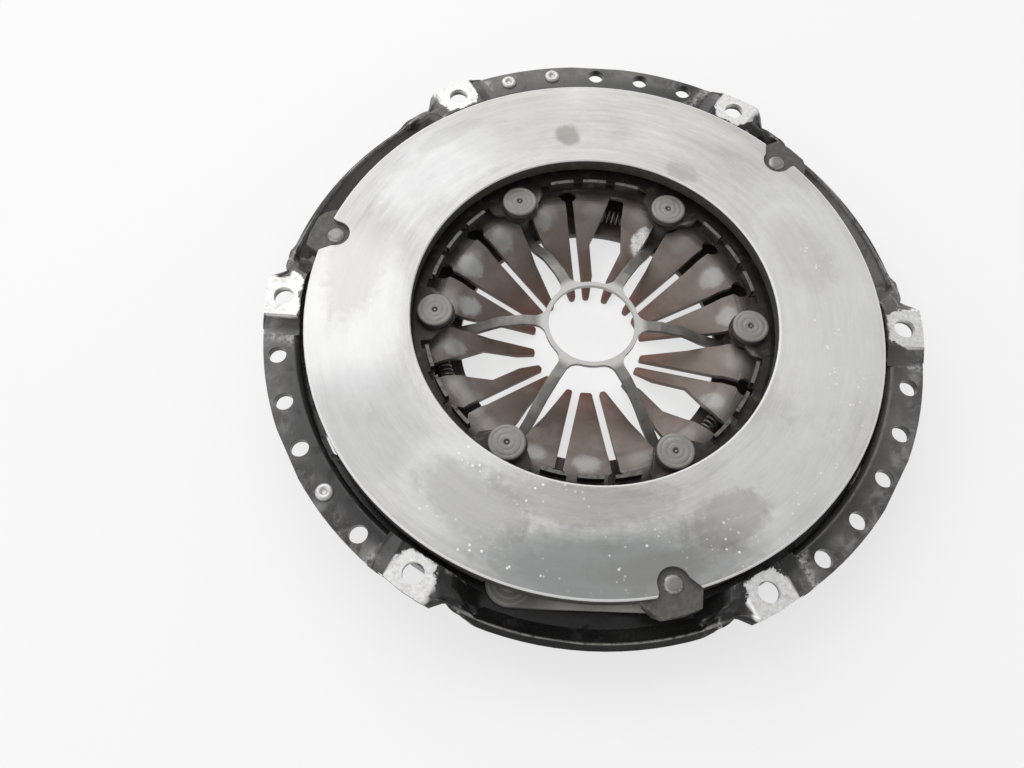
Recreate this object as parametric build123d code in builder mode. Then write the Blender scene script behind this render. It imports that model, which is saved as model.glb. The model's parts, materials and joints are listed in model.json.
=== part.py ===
from math import atan, cos, hypot, radians, sin, tan
import os

from build123d import *

# Self-adjusting clutch cover assembly, millimetres and degrees.
# Origin: centre of the bolt circle, on the face of the bolting ears.
# +Z points to the flywheel. Bolts stand at 0, 60, ... 300 degrees.
# Balance flanges are centred at -30, 90 and 210, strap pockets at 30, 150 and 270.

sectors = 3
sector_pitch = 360 / sectors
flange_angles = [-30 + sector_pitch * n for n in range(sectors)]
pocket_angles = [30 + sector_pitch * n for n in range(sectors)]
bolt_angles = [60 * n for n in range(2 * sectors)]
half_gap = 30

# Cover pressing: every radius is stepped inwards from the reach of the ears
sheet = 3.5
ear_reach = 139.9
ear_margin = 7.8
ear_hole_circle = ear_reach - ear_margin
ear_hole_d = 8.6
ear_corner = 10.0
ear_tip_fall = 0.2
ear_flange_side = 12.0
flange_drop = 2.6
flange_inset = 0.4
flange_r = ear_reach - flange_inset
flange_flat = flange_r - 0.5
flange_half = 24.6
balance_margin = 5.7
balance_circle = flange_r - balance_margin
balance_pitch = 9.26
balance_hole_d = 7.4
balance_holes = 5
pocket_land = 5.7
pocket_r = ear_reach - pocket_land
pocket_half = 24.6
pocket_wall_angle = 1.5
pocket_corner = 13.0
pocket_floor_round = 3.0
pocket_ear_blend = (1.6, 1.2, 2.4, 6.5)
drain_margin = 3.9
drain_hole_r = pocket_r - drain_margin
drain_hole_d = 5.0
pocket_step = 9.6
bowl_r = pocket_r - pocket_step
lip_r = 3.0
lip_fold = 0.9
shelf_z = -12.3
shelf_width = 15.6
shelf_r = bowl_r - shelf_width
shelf_slot_margin = 4.3
shelf_slot_r = bowl_r - shelf_slot_margin
shelf_slot = (12.0, 5.0)
back_z = -26.4
wall_run = 6.0
back_r = shelf_r - wall_run
rim_z = -8.1
rim_half = 16.0
rim_rise_half = 22.4

# Pressure plate casting
face_z = 3.14
plate_play = 2.6
face_r = bowl_r - plate_play
face_width = 44.25
bore_r = face_r - face_width
web = 6.5
web_width = 16.75
body_depth = 9.9
body_inner_r = bore_r + web_width
body_outer_r = face_r - 1.0
plate_travel = 3.8
contact_gap = 0.15
ridge_round = 2.5
ridge_breaks = 12
ridge_break_width = 12.0
face_chamfer = 0.6
lug_angle = 14.8
lug_margin = 16.4
lug_circle = pocket_r - lug_margin
lug_top = 1.1
lug_depth = 7.0
lug_play = 4.9
lug_reach = pocket_r - lug_play
lug_half = 10.0
lug_root = 3.4
notch_r = 6.3
notch_flare = 3.5

# Stepped bolts stand inside the bore of the plate
bolt_margin = 9.65
bolt_circle = bore_r - bolt_margin
opening_r = bolt_circle - 10.4
head_d = 15.6
head_top = -4.64
shank_d = 10.0
neck_d = 8.0
rear_head_d = 13.0
rest_z = -33.0
fit_gap = 0.1
dimple_d = 2.0

# Diaphragm spring: a cone outside the bolts, a hump over them and straight fingers inside
spring_t = 2.6
spring_r = back_r + 0.4
spring_cone = 10.5
flat_outer_r = bolt_circle - 0.1
flat_inner_r = bolt_circle - 8.1
flat_z = -15.9
flat_fall = 0.3
hump_start = -11.1
hump_end = 6.9
hump = ((-8.1, 0.4), (-4.1, 1.8), (-0.1, 2.25), (3.4, 1.75))
tip_r = 24.35
tip_z = -29.9
spring_turn = -0.6
slot_width = 3.5
slot_angles = (-10.0, 10.0)
slot_hole_r = bolt_circle + 2.9
slot_hole_d = 8.0
wide_slot = 8.3
wide_slot_neck = 6.8
neck_r = bolt_circle - 16.1
neck_taper = 8.0
keyhole_d = 13.6
tip_round = 1.2
window_round = 1.5
window_tip = (-14.3, -0.6)
window_points = (
    (-35.1, -14.2),
    (-20.6, -17.6),
    (-8.1, -13.4),
    (-1.1, -12.6),
    (3.4, -12.2),
    (3.4, -6.6),
    (-1.1, -6.3),
    (-8.1, -4.6),
    (-19.6, 0.6),
    (-34.1, -2.5),
)
ridge_margin = 2.9
ridge_r = spring_r - ridge_margin

# Sensor spring
sensor_t = 1.5
sensor_top = -8.5
sensor_in_r = bolt_circle + 3.2
sensor_bend_r = sensor_in_r + 6.2
tab_top = -4.35
tab_width = 10.6
tab_pitch = 12.0
tab_notch = 4.2
tab_notch_depth = 3.2
lobe_r = 8.6
lobe_flare = 15.5

# Release stop
stop_t = 2.0
stop_top = -9.5
foot_start_r = bolt_circle - 7.1
stop_profile = ((-46.0, 0.0), (-31.0, 0.0), (-21.0, -2.9), (-17.0, -5.4), (-11.0, -9.8), (-4.0, -13.4))
stop_bore_r = 18.8
stop_ring_r = 20.8
arm_width = 4.6
arm_root = 5.5
foot_r = 8.2

# Adjusting ring, its ramps and its springs
bead_margin = 12.25
bead_r = bore_r + bead_margin
bead_round = 1.6
sensor_out_r = bead_r + 1.0
ring_half = 5.5
ring_in_r = bead_r - ring_half
ring_out_r = bead_r + ring_half
ring_body_top = -17.2
ramps = 12
ramp_span = 24.0
ramp_height = 3.6
ramp_low = -24.8
ramp_gap = 0.15
ramp_half = 4.0
ramp_in_r = bead_r - ramp_half
ramp_out_r = bead_r + ramp_half
coil_r = bolt_circle - 1.6
coil_z = -22.6
coil_d = 6.6
coil_wire = 1.1
coil_turns = 8
window_angle = -7.5
seat_width = 5.6
seat_t = 2.6
coil_half_angle = 8.6
nose_d = 3.6
nose_length = 4.0
ring_seat_play = 0.3

# Leaf straps and their rivets
leaf_t = 0.8
leaves = 3
strap_half_width = 9.4
strap_play = 0.8
strap_flat = 11.0
strap_rivet_d = 6.6
cover_rivet_head_d = 9.2
plate_rivet_head_d = 7.5
rivet_head_h = 1.8
rivet_edge = 1.0
rear_rivet_head_d = 10.0
plate_head_h = 1.2
balance_head_h = 1.4
balance_rear_d = 11.0
balance_rear_h = 3.0
balance_rivet_places = ((1, 1), (1, 2), (2, 1))
access_hole_d = 14.0

os.makedirs("parts", exist_ok=True)


def polar(radius, angle):
    return (radius * cos(radians(angle)), radius * sin(radians(angle)))


def radial_plane(angle):
    """Upright plane through the axis: local x runs outwards, local y runs up."""
    return Plane(origin=(0, 0, 0), x_dir=(*polar(1, angle), 0), z_dir=(*polar(1, angle - 90), 0))


def flat_plane(angle, radius, height):
    """Level plane: local x runs outwards, local y runs counter-clockwise."""
    return Plane(origin=(*polar(radius, angle), height), x_dir=(*polar(1, angle), 0), z_dir=(0, 0, 1))


def spring_top(radius):
    """Height of the coned outer part of the diaphragm spring."""
    return flat_z + (radius - flat_outer_r) * tan(radians(spring_cone))


def sheet_points(top, thickness):
    """Closed outline of a bent sheet from the points of its upper face, given from inside to outside."""
    lower = []
    for n, (x, y) in enumerate(top):
        before = top[max(n - 1, 0)]
        after = top[min(n + 1, len(top) - 1)]
        slope = atan((after[1] - before[1]) / (after[0] - before[0]))
        lower.append((x + thickness * sin(slope), y - thickness * cos(slope)))
    return [*top, *reversed(lower)]


def save(builder, name):
    builder.part.label = name
    export_step(builder.part, f"parts/{name}.step")


# One ramp, on the local x axis: a wedge that climbs counter-clockwise
ramp_run = ramp_span * radians(1) * (ramp_in_r + ramp_out_r) / 2


def wedge(low, height, foot, grow):
    """Block under a slope that climbs along local y, cut to the width of the ramp track."""
    half = ramp_run / 2 + grow
    rise = height / ramp_run * grow
    with BuildPart() as block:
        side_plane = Plane(origin=(ramp_in_r - ramp_run / 2, 0, 0), x_dir=(0, 1, 0), z_dir=(1, 0, 0))
        with BuildSketch(side_plane):
            with BuildLine():
                Polyline((-half, foot), (-half, low - rise), (half, low + height + rise), (half, foot), close=True)
            make_face()
        extrude(amount=ramp_out_r - ramp_in_r + ramp_run)
        with BuildSketch(Plane.XY.offset(back_z - 2 * sheet)):
            Circle(ramp_out_r + grow)
            Circle(ramp_in_r - grow, mode=Mode.SUBTRACT)
        extrude(amount=4 * sheet + ramp_height, mode=Mode.INTERSECT)
    return block.part


cover_ramp = wedge(ramp_low, ramp_height, back_z - sheet / 2, 0)
ramp_relief = wedge(ramp_low - sheet, ramp_height, back_z - 2 * sheet, -sheet / 2)
ring_ramp = wedge(ramp_low + ramp_gap, ramp_height, ring_body_top - sheet, 0)


def pocket_plan(reach, half_angle, corner, level):
    """Outline of one strap pocket, on the local x axis."""
    inner = shelf_r + sheet
    with BuildSketch(Plane.XY.offset(level)) as plan:
        with BuildLine():
            Polyline(polar(inner, -half_angle), polar(reach, -half_angle))
            ThreePointArc(polar(reach, -half_angle), (reach, 0), polar(reach, half_angle))
            Polyline(polar(reach, half_angle), polar(inner, half_angle), polar(inner, -half_angle))
        make_face()
        fillet(plan.vertices().sort_by(SortBy.DISTANCE)[-2:], radius=corner)
    return plan.sketch


def pocket_block(reach, half_angle, corner, low, high, floor_round):
    """Wedge-shaped block that fills one strap pocket, on the local x axis."""
    with BuildPart() as block:
        add(pocket_plan(reach, half_angle, corner, low))
        extrude(amount=high - low)
        floor_edges = block.edges().group_by(Axis.Z)[0].sort_by(SortBy.DISTANCE)[1:]
        fillet(floor_edges, radius=floor_round)
    return block.part


coil_half_length = coil_r * sin(radians(coil_half_angle))


def coil_plane(angle, along):
    """Plane across an adjuster spring, its normal along the spring, counter-clockwise."""
    turn = angle + window_angle
    x, y = polar(coil_r * cos(radians(coil_half_angle)), turn)
    dx, dy = polar(along, turn + 90)
    return Plane(origin=(x + dx, y + dy, coil_z), x_dir=(*polar(1, turn), 0), z_dir=(*polar(1, turn + 90), 0))


# Cover: one deep pressing with three strap pockets, balance flanges and bolting ears
outer_pocket = pocket_block(
    pocket_r + sheet, pocket_half + pocket_wall_angle, pocket_corner + sheet, shelf_z - sheet, 0, pocket_floor_round + sheet
)
inner_pocket = pocket_block(pocket_r, pocket_half, pocket_corner, shelf_z, 1, pocket_floor_round)


def pocket_lip(widen, level, drop, angle):
    """Flared cutter that folds the ears down into a pocket."""
    wide = pocket_half + widen / radians(1) / pocket_r
    with BuildPart() as cutter:
        add(pocket_plan(pocket_r + widen, wide, pocket_corner + widen, level))
        extrude(amount=-drop, taper=angle)
    return cutter.part


fold_angle = atan((lip_r - lip_fold) / lip_fold) / radians(1)
upper_lip = pocket_lip(lip_r, 0, lip_fold, fold_angle)
lower_lip = pocket_lip(lip_fold, -lip_fold, lip_r - lip_fold, 90 - fold_angle)

blend_out, blend_in, blend_near, blend_far = pocket_ear_blend

with BuildPart() as cover:
    with BuildSketch(Plane.XY.offset(-flange_drop - sheet)):
        for angle in flange_angles:
            with BuildLine():
                Polyline(
                    (0, 0),
                    polar(2 * flange_r, angle - flange_half),
                    polar(2 * flange_r, angle + flange_half),
                    close=True,
                )
            make_face()
        Circle(flange_r, mode=Mode.INTERSECT)
        with PolarLocations(flange_flat + sheet, sectors, start_angle=flange_angles[0]):
            Rectangle(2 * sheet, flange_r, mode=Mode.SUBTRACT)
    extrude(amount=sheet)
    for angle in bolt_angles:
        side = 1 if round(angle / 60) % 2 == 0 else -1
        with BuildSketch(flat_plane(angle, 0, -sheet)):
            with BuildLine():
                Polyline(
                    (bowl_r - sheet, side * ear_corner),
                    (bowl_r - sheet, -side * ear_flange_side),
                    (flange_flat - ear_tip_fall, -side * ear_flange_side),
                    (ear_reach, 0),
                    (ear_reach - ear_tip_fall, side * ear_corner),
                    (pocket_r + blend_out, side * (ear_corner + blend_near)),
                    (pocket_r - blend_in, side * (ear_corner + blend_far)),
                    (bowl_r - sheet, side * (ear_corner + blend_far)),
                    close=True,
                )
            make_face()
        extrude(amount=sheet)
        riser_plane = Plane(
            origin=(*polar(bowl_r - sheet, angle), 0),
            x_dir=(*polar(-side, angle + 90), 0),
            z_dir=(*polar(1, angle), 0),
        )
        up = riser_plane.y_dir.Z
        with BuildSketch(riser_plane):
            with BuildLine():
                Polyline(
                    (ear_flange_side, 0),
                    (ear_flange_side + flange_drop, -flange_drop * up),
                    (ear_flange_side + flange_drop, -(flange_drop + sheet) * up),
                    (ear_flange_side - flange_drop / 2, -sheet * up),
                    close=True,
                )
            make_face()
        extrude(amount=flange_flat - bowl_r + sheet)
    with BuildSketch(radial_plane(0)):
        with BuildLine():
            Polyline(
                (0, back_z - sheet),
                (back_r + sheet, back_z - sheet),
                (shelf_r + sheet, shelf_z - sheet),
                (bowl_r + sheet, shelf_z - sheet),
                (bowl_r + sheet, -flange_drop - sheet / 2),
                (0, -flange_drop - sheet / 2),
                close=True,
            )
        make_face()
    revolve(axis=Axis.Z)
    with PolarLocations(0, sectors, start_angle=pocket_angles[0]):
        add(outer_pocket)
    # hollow side
    with BuildSketch(radial_plane(0)):
        with BuildLine():
            Polyline(
                (0, back_z),
                (back_r, back_z),
                (shelf_r, shelf_z),
                (bowl_r, shelf_z),
                (bowl_r, 1),
                (0, 1),
                close=True,
            )
        make_face()
    revolve(axis=Axis.Z, mode=Mode.SUBTRACT)
    for angle in flange_angles:
        with BuildSketch(radial_plane(angle - flange_half + pocket_wall_angle)):
            with BuildLine():
                Polyline((bowl_r - 1, 1), (bowl_r - 1, -flange_drop - lip_r), (bowl_r, -flange_drop - lip_r))
                RadiusArc((bowl_r, -flange_drop - lip_r), (bowl_r + lip_r, -flange_drop), lip_r)
                Polyline((bowl_r + lip_r, -flange_drop), (bowl_r + lip_r, 1), (bowl_r - 1, 1))
            make_face()
        revolve(axis=Axis.Z, revolution_arc=2 * (flange_half - pocket_wall_angle), mode=Mode.SUBTRACT)
    with PolarLocations(0, sectors, start_angle=pocket_angles[0]):
        add(inner_pocket, mode=Mode.SUBTRACT)
        add(upper_lip, mode=Mode.SUBTRACT)
        add(lower_lip, mode=Mode.SUBTRACT)
    # pocket rims dip below the ears on an S-shaped edge
    for angle in pocket_angles:
        low_x = pocket_r * sin(radians(rim_half))
        high_x = pocket_r * sin(radians(rim_rise_half))
        rim_plane = Plane(
            origin=(*polar(shelf_r + sheet + lip_r, angle), 0),
            x_dir=(*polar(1, angle + 90), 0),
            z_dir=(*polar(1, angle), 0),
        )
        with BuildSketch(rim_plane):
            with BuildLine():
                Spline((-high_x, 0), (-low_x, rim_z), tangents=((1, 0), (1, 0)))
                Line((-low_x, rim_z), (low_x, rim_z))
                Spline((low_x, rim_z), (high_x, 0), tangents=((1, 0), (1, 0)))
                Polyline((high_x, 0), (high_x, sheet), (-high_x, sheet), (-high_x, 0))
            make_face()
        extrude(amount=2 * (pocket_r - shelf_r), mode=Mode.SUBTRACT)
    # ramps pressed up from the back, and the upright seats of the adjuster springs
    with PolarLocations(0, ramps, start_angle=360 / ramps / 2):
        add(cover_ramp)
        add(ramp_relief, mode=Mode.SUBTRACT)
    for angle in flange_angles:
        seat_plane = flat_plane(angle + window_angle, coil_r * cos(radians(coil_half_angle)), back_z)
        with BuildSketch(seat_plane):
            with Locations((0, -coil_half_length - seat_t / 2)):
                Rectangle(seat_width, seat_t)
        extrude(amount=coil_z + coil_d / 2 - back_z)
        with BuildSketch(coil_plane(angle, -coil_half_length)):
            Circle(nose_d / 2)
        extrude(amount=nose_length)
    # holes
    with BuildSketch(Plane.XY.offset(back_z - sheet)):
        Circle(opening_r)
        with PolarLocations(bolt_circle, 2 * sectors):
            Circle(neck_d / 2 + fit_gap)
        with PolarLocations(ear_hole_circle, 2 * sectors):
            Circle(ear_hole_d / 2)
        for angle in flange_angles:
            first = angle - balance_pitch * (balance_holes - 1) / 2
            for n in range(balance_holes):
                with Locations(polar(balance_circle, first + n * balance_pitch)):
                    Circle(balance_hole_d / 2)
            with Locations(Location((*polar(shelf_slot_r, angle), 0), angle + 90)):
                SlotOverall(*shelf_slot)
        for angle in pocket_angles:
            with Locations(polar(drain_hole_r, angle)):
                Circle(drain_hole_d / 2)
            with Locations(polar(lug_circle, angle + lug_angle)):
                Circle(access_hole_d / 2)
            with Locations(polar(lug_circle, angle - lug_angle)):
                Circle(strap_rivet_d / 2 + fit_gap)
    extrude(amount=sheet - back_z + 1, mode=Mode.SUBTRACT)
save(cover, "cover")

# Pressure plate: machined friction face, stepped rear, fulcrum ridge and three strap lugs
web_z = face_z - web
body_z = face_z - body_depth
ridge_z = spring_top(ridge_r) + contact_gap
ridge_foot = ridge_round + 0.6
lug_z = lug_top - lug_depth

with BuildSketch() as lug_plan:
    with BuildLine():
        Polyline(
            (body_outer_r - 4, -lug_half - lug_root),
            (face_r - 0.3, -lug_half - lug_root),
            (lug_reach - 2.4, -lug_half),
            (lug_reach - 0.4, -lug_half + 3.2),
            (lug_reach, 1.6),
            (lug_reach - 0.9, lug_half - 1.8),
            (lug_reach - 6.2, lug_half),
            (body_outer_r - 4, lug_half + lug_root),
            close=True,
        )
    make_face()

notch_mouth = face_r + 0.6
with BuildSketch() as notch_plan:
    with BuildLine():
        Line((lug_circle, -notch_r), (notch_mouth - notch_flare, -notch_r))
        RadiusArc((notch_mouth - notch_flare, -notch_r), (notch_mouth, -notch_r - notch_flare), notch_flare)
        Polyline(
            (notch_mouth, -notch_r - notch_flare),
            (lug_reach + 1, -notch_r - 2 * notch_flare),
            (lug_reach + 1, notch_r + 2 * notch_flare),
            (face_r, notch_r + notch_flare + 0.8),
            (lug_circle - 1.0, notch_r),
        )
        ThreePointArc((lug_circle - 1.0, notch_r), (lug_circle - notch_r, 0), (lug_circle, -notch_r))
    make_face()

strap_offset = lug_circle * cos(radians(lug_angle))
strap_reach = lug_circle * sin(radians(lug_angle))
strap_edge = strap_offset - strap_half_width - strap_play
strap_tail = strap_reach + strap_half_width + strap_play
relief_z = shelf_z + leaves * leaf_t + rivet_head_h + plate_travel + 2 * contact_gap

with BuildPart() as pressure_plate:
    with BuildSketch(radial_plane(0)):
        with BuildLine():
            Polyline(
                (bore_r, web_z),
                (body_inner_r, web_z),
                (body_inner_r + 1, body_z),
                (body_outer_r, body_z),
                (face_r, body_z + 1),
                (face_r, face_z - face_chamfer),
                (face_r - face_chamfer, face_z),
                (bore_r + face_chamfer, face_z),
                (bore_r, face_z - face_chamfer),
                close=True,
            )
        make_face()
    revolve(axis=Axis.Z)
    with BuildSketch(Plane.XY.offset(lug_z)):
        with PolarLocations(0, sectors, start_angle=pocket_angles[0] + lug_angle):
            add(lug_plan.sketch)
    extrude(amount=lug_depth)
    with BuildSketch(Plane.XY.offset(lug_top)):
        with PolarLocations(0, sectors, start_angle=pocket_angles[0] + lug_angle):
            add(notch_plan.sketch)
    extrude(amount=face_z, mode=Mode.SUBTRACT)
    with BuildSketch(Plane.XY.offset(lug_z)):
        with PolarLocations(lug_circle, sectors, start_angle=pocket_angles[0] + lug_angle):
            Circle(strap_rivet_d / 2 + fit_gap)
    extrude(amount=lug_depth, mode=Mode.SUBTRACT)
    with BuildSketch(radial_plane(0)):
        with BuildLine():
            Polyline(
                (ridge_r - ridge_round, ridge_z + ridge_round / 2),
                (ridge_r - ridge_foot, body_z),
                (ridge_r - ridge_foot, body_z + 1),
                (ridge_r + ridge_foot, body_z + 1),
                (ridge_r + ridge_foot, body_z),
                (ridge_r + ridge_round, ridge_z + ridge_round / 2),
            )
            ThreePointArc(
                (ridge_r + ridge_round, ridge_z + ridge_round / 2),
                (ridge_r, ridge_z),
                (ridge_r - ridge_round, ridge_z + ridge_round / 2),
            )
        make_face()
    revolve(axis=Axis.Z)
    # the rear is relieved over each strap: up to the lug's seat, and deeper over the cover's rivet
    with BuildSketch(Plane.XY.offset(body_z - 1)):
        with PolarLocations(0, sectors, start_angle=pocket_angles[0]):
            with Locations((strap_edge, 0)):
                Rectangle(lug_reach - strap_edge, 2 * strap_tail, align=(Align.MIN, Align.CENTER))
    extrude(amount=lug_z - body_z + 1, mode=Mode.SUBTRACT)
    with BuildSketch(Plane.XY.offset(body_z - 1)):
        with PolarLocations(0, sectors, start_angle=pocket_angles[0]):
            with Locations((strap_edge, -strap_tail)):
                Rectangle(lug_reach - strap_edge, strap_tail + strap_reach - strap_flat, align=(Align.MIN, Align.MIN))
    extrude(amount=relief_z - body_z + 1, mode=Mode.SUBTRACT)
    with BuildSketch(Plane.XY.offset(ridge_z - 1)):
        with PolarLocations(ridge_r, ridge_breaks, start_angle=180 / ridge_breaks):
            Rectangle(3 * ridge_foot, ridge_break_width)
    extrude(amount=body_z - ridge_z + 1, mode=Mode.SUBTRACT)
save(pressure_plate, "pressure_plate")

# Diaphragm spring: coned ring with eighteen fingers, three of the slots widened into windows
finger_slope = (flat_z - flat_fall - tip_z) / (flat_inner_r - tip_r)
cone_slope = tan(radians(spring_cone))


def finger_top(radius):
    """Height of the straight inner part of the fingers."""
    return flat_z - flat_fall - (flat_inner_r - radius) * finger_slope


inner_r = bolt_circle + hump_start
outer_r = bolt_circle + hump_end
hump_top = [
    (inner_r, finger_top(inner_r)),
    *[(bolt_circle + along, flat_z + rise) for along, rise in hump],
    (outer_r, spring_top(outer_r)),
]


def hump_curve(drop):
    """The hump of the fingers, dropped through the sheet by a share of its thickness."""
    points = []
    for n, (x, y) in enumerate(hump_top):
        before = hump_top[max(n - 1, 0)]
        after = hump_top[min(n + 1, len(hump_top) - 1)]
        slope = atan((after[1] - before[1]) / (after[0] - before[0]))
        if n == 0:
            slope = atan(finger_slope)
        if n == len(hump_top) - 1:
            slope = radians(spring_cone)
        points.append((x + drop * sin(slope), y - drop * cos(slope)))
    return points


spring_path = hump_curve(0)
spring_under = hump_curve(spring_t)
finger_end = tip_r - neck_taper / 2
spring_ends = (
    (finger_end, finger_top(finger_end)),
    (spring_r, spring_top(spring_r)),
    (spring_r + spring_t * sin(radians(spring_cone)), spring_top(spring_r) - spring_t * cos(radians(spring_cone))),
    (
        finger_end + spring_t * sin(atan(finger_slope)),
        finger_top(finger_end) - spring_t * cos(atan(finger_slope)),
    ),
)

with BuildSketch() as narrow_slot:
    with Locations((slot_hole_r / 2, 0)):
        Rectangle(slot_hole_r, slot_width)
    with Locations((slot_hole_r, 0)):
        Circle(slot_hole_d / 2)

window_in = tip_r - window_round * 2
window = (
    (window_in, window_tip[0]),
    *[(bolt_circle + along, turn) for along, turn in window_points],
    (window_in, window_tip[1]),
)
with BuildSketch() as window_slot:
    with BuildLine():
        Polyline(*[polar(r, a) for r, a in window], close=True)
    make_face()
    fillet(window_slot.vertices(), radius=window_round)

with BuildSketch() as boundary_slot:
    with BuildLine():
        Polyline(
            (0, -wide_slot / 2),
            (neck_r - neck_taper, -wide_slot / 2),
            (neck_r, -wide_slot_neck / 2),
            (bolt_circle, -wide_slot_neck / 2),
            (bolt_circle, wide_slot_neck / 2),
            (neck_r, wide_slot_neck / 2),
            (neck_r - neck_taper, wide_slot / 2),
            (0, wide_slot / 2),
            close=True,
        )
    make_face()
    with Locations((bolt_circle, 0)):
        Circle(keyhole_d / 2)

with BuildPart() as diaphragm_spring:
    with BuildSketch(Plane.XY.offset(tip_z - 3 * spring_t)) as plan:
        Circle(spring_r - 0.2)
        Circle(tip_r, mode=Mode.SUBTRACT)
        with PolarLocations(0, sectors, start_angle=flange_angles[0]):
            add(window_slot.sketch, mode=Mode.SUBTRACT)
        for start in (
            flange_angles[0] + slot_angles[1],
            pocket_angles[0] + slot_angles[0],
            pocket_angles[0] + slot_angles[1],
        ):
            with PolarLocations(0, sectors, start_angle=start + spring_turn):
                add(narrow_slot.sketch, mode=Mode.SUBTRACT)
        with PolarLocations(0, 2 * sectors, start_angle=spring_turn):
            add(boundary_slot.sketch, mode=Mode.SUBTRACT)
        tips = [v for v in plan.vertices() if abs(hypot(v.X, v.Y) - tip_r) < fit_gap]
        fillet(tips, radius=tip_round)
    extrude(amount=spring_top(spring_r) - tip_z + 4 * spring_t)
    with BuildSketch(radial_plane(0)):
        with BuildLine():
            Line(spring_ends[0], spring_path[0])
            Spline(*spring_path, tangents=((1, finger_slope), (1, cone_slope)))
            Polyline(spring_path[-1], spring_ends[1], spring_ends[2], spring_under[-1])
            Spline(*spring_under, tangents=((1, finger_slope), (1, cone_slope)))
            Polyline(spring_under[0], spring_ends[3], spring_ends[0])
        make_face()
    revolve(axis=Axis.Z, mode=Mode.INTERSECT)
save(diaphragm_spring, "diaphragm_spring")

# Sensor spring: flat ring under the bolt heads, dished rim on the diaphragm, upturned tabs
sensor_rim_z = spring_top(sensor_out_r) + sensor_t + contact_gap
sensor_slope = (sensor_rim_z - sensor_top) / (sensor_out_r - sensor_bend_r)
sensor_path = (
    (bolt_circle - 2 * lobe_r, sensor_top),
    (sensor_bend_r, sensor_top),
    (sensor_out_r + sensor_t, sensor_rim_z + sensor_slope * sensor_t),
)

with BuildSketch() as lobe:
    with BuildLine():
        Polyline(
            (sensor_in_r + 3, -lobe_flare),
            (sensor_in_r + 0.3, -lobe_flare),
            (bolt_circle - 2.6, -lobe_r + 0.3),
            (bolt_circle - 2.6, lobe_r - 0.3),
            (sensor_in_r + 0.3, lobe_flare),
            (sensor_in_r + 3, lobe_flare),
            close=True,
        )
    make_face()
    with Locations((bolt_circle, 0)):
        Circle(lobe_r)

with BuildPart() as sensor_spring:
    with BuildSketch(Plane.XY.offset(sensor_top - 4 * sensor_t)):
        Circle(sensor_out_r)
        Circle(sensor_in_r, mode=Mode.SUBTRACT)
        with PolarLocations(0, 2 * sectors):
            add(lobe.sketch)
        with PolarLocations(bolt_circle, 2 * sectors):
            Circle(shank_d / 2 + 2 * fit_gap, mode=Mode.SUBTRACT)
        for step in (-1.5, -0.5, 0.5, 1.5):
            with PolarLocations(sensor_in_r, 2 * sectors, start_angle=half_gap + step * tab_pitch):
                Rectangle(2 * tab_notch_depth, tab_notch, mode=Mode.SUBTRACT)
    extrude(amount=8 * sensor_t)
    with BuildSketch(radial_plane(0)):
        with BuildLine():
            Polyline(*sheet_points(sensor_path, sensor_t), close=True)
        make_face()
    revolve(axis=Axis.Z, mode=Mode.INTERSECT)
    with BuildSketch(Plane.XY.offset(sensor_top - sensor_t / 2)):
        for step in (-1, 0, 1):
            with PolarLocations(sensor_in_r, 2 * sectors, start_angle=half_gap + step * tab_pitch):
                Rectangle(4 * sensor_t, tab_width)
        Circle(sensor_in_r + sensor_t, mode=Mode.INTERSECT)
        Circle(sensor_in_r, mode=Mode.SUBTRACT)
    extrude(amount=tab_top - sensor_top + sensor_t / 2)
save(sensor_spring, "sensor_spring")

# Release stop: centre ring on six arms that reach down between the fingers to the bolt necks
foot_z = back_z + stop_t
stop_path = [(foot_start_r + along, stop_top + fall) for along, fall in stop_profile]
stop_path += [(foot_start_r, foot_z), (bolt_circle + 2 * foot_r, foot_z)]

with BuildPart() as stop_spider:
    with BuildSketch(Plane.XY.offset(back_z - 1)) as plan:
        Circle(stop_ring_r)
        with PolarLocations(bolt_circle / 2, 2 * sectors):
            Rectangle(bolt_circle, arm_width)
        with PolarLocations(bolt_circle, 2 * sectors):
            Circle(foot_r)
        roots = [v for v in plan.vertices() if hypot(v.X, v.Y) < stop_ring_r + 1]
        fillet(roots, radius=arm_root)
        necks = [v for v in plan.vertices() if hypot(v.X, v.Y) > bolt_circle - foot_r - 1]
        fillet(necks, radius=arm_root / 2)
        Circle(stop_bore_r, mode=Mode.SUBTRACT)
        with PolarLocations(bolt_circle, 2 * sectors):
            Circle(neck_d / 2 + fit_gap, mode=Mode.SUBTRACT)
    extrude(amount=stop_top - back_z + 2)
    with BuildSketch(radial_plane(0)):
        with BuildLine():
            Polyline(*sheet_points(stop_path, stop_t), close=True)
        make_face()
    revolve(axis=Axis.Z, mode=Mode.INTERSECT)
save(stop_spider, "stop_spider")

def turned(points):
    """Turned solid on its own axis, from half of its outline."""
    with BuildPart() as shape:
        with BuildSketch(Plane.XZ):
            with BuildLine():
                Polyline(*points, close=True)
            make_face()
        revolve(axis=Axis.Z)
    return shape.part


# Stepped bolts: head over the sensor spring, shank through the diaphragm, neck riveted under the back
bolt = turned(
    [
        (0, rest_z),
        (rear_head_d / 2 - 1, rest_z),
        (rear_head_d / 2, rest_z + 1),
        (rear_head_d / 2, back_z - sheet),
        (neck_d / 2, back_z - sheet),
        (neck_d / 2, foot_z),
        (shank_d / 2, foot_z),
        (shank_d / 2, sensor_top),
        (head_d / 2, sensor_top),
        (head_d / 2, head_top - 0.5),
        (head_d / 2 - 0.5, head_top),
        (dimple_d / 2 + 0.6, head_top),
        (dimple_d / 2, head_top - 0.8),
        (0, head_top - 0.8),
    ]
)
with BuildPart() as stepped_bolts:
    with PolarLocations(bolt_circle, 2 * sectors):
        add(bolt)
save(stepped_bolts, "stepped_bolts")

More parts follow.
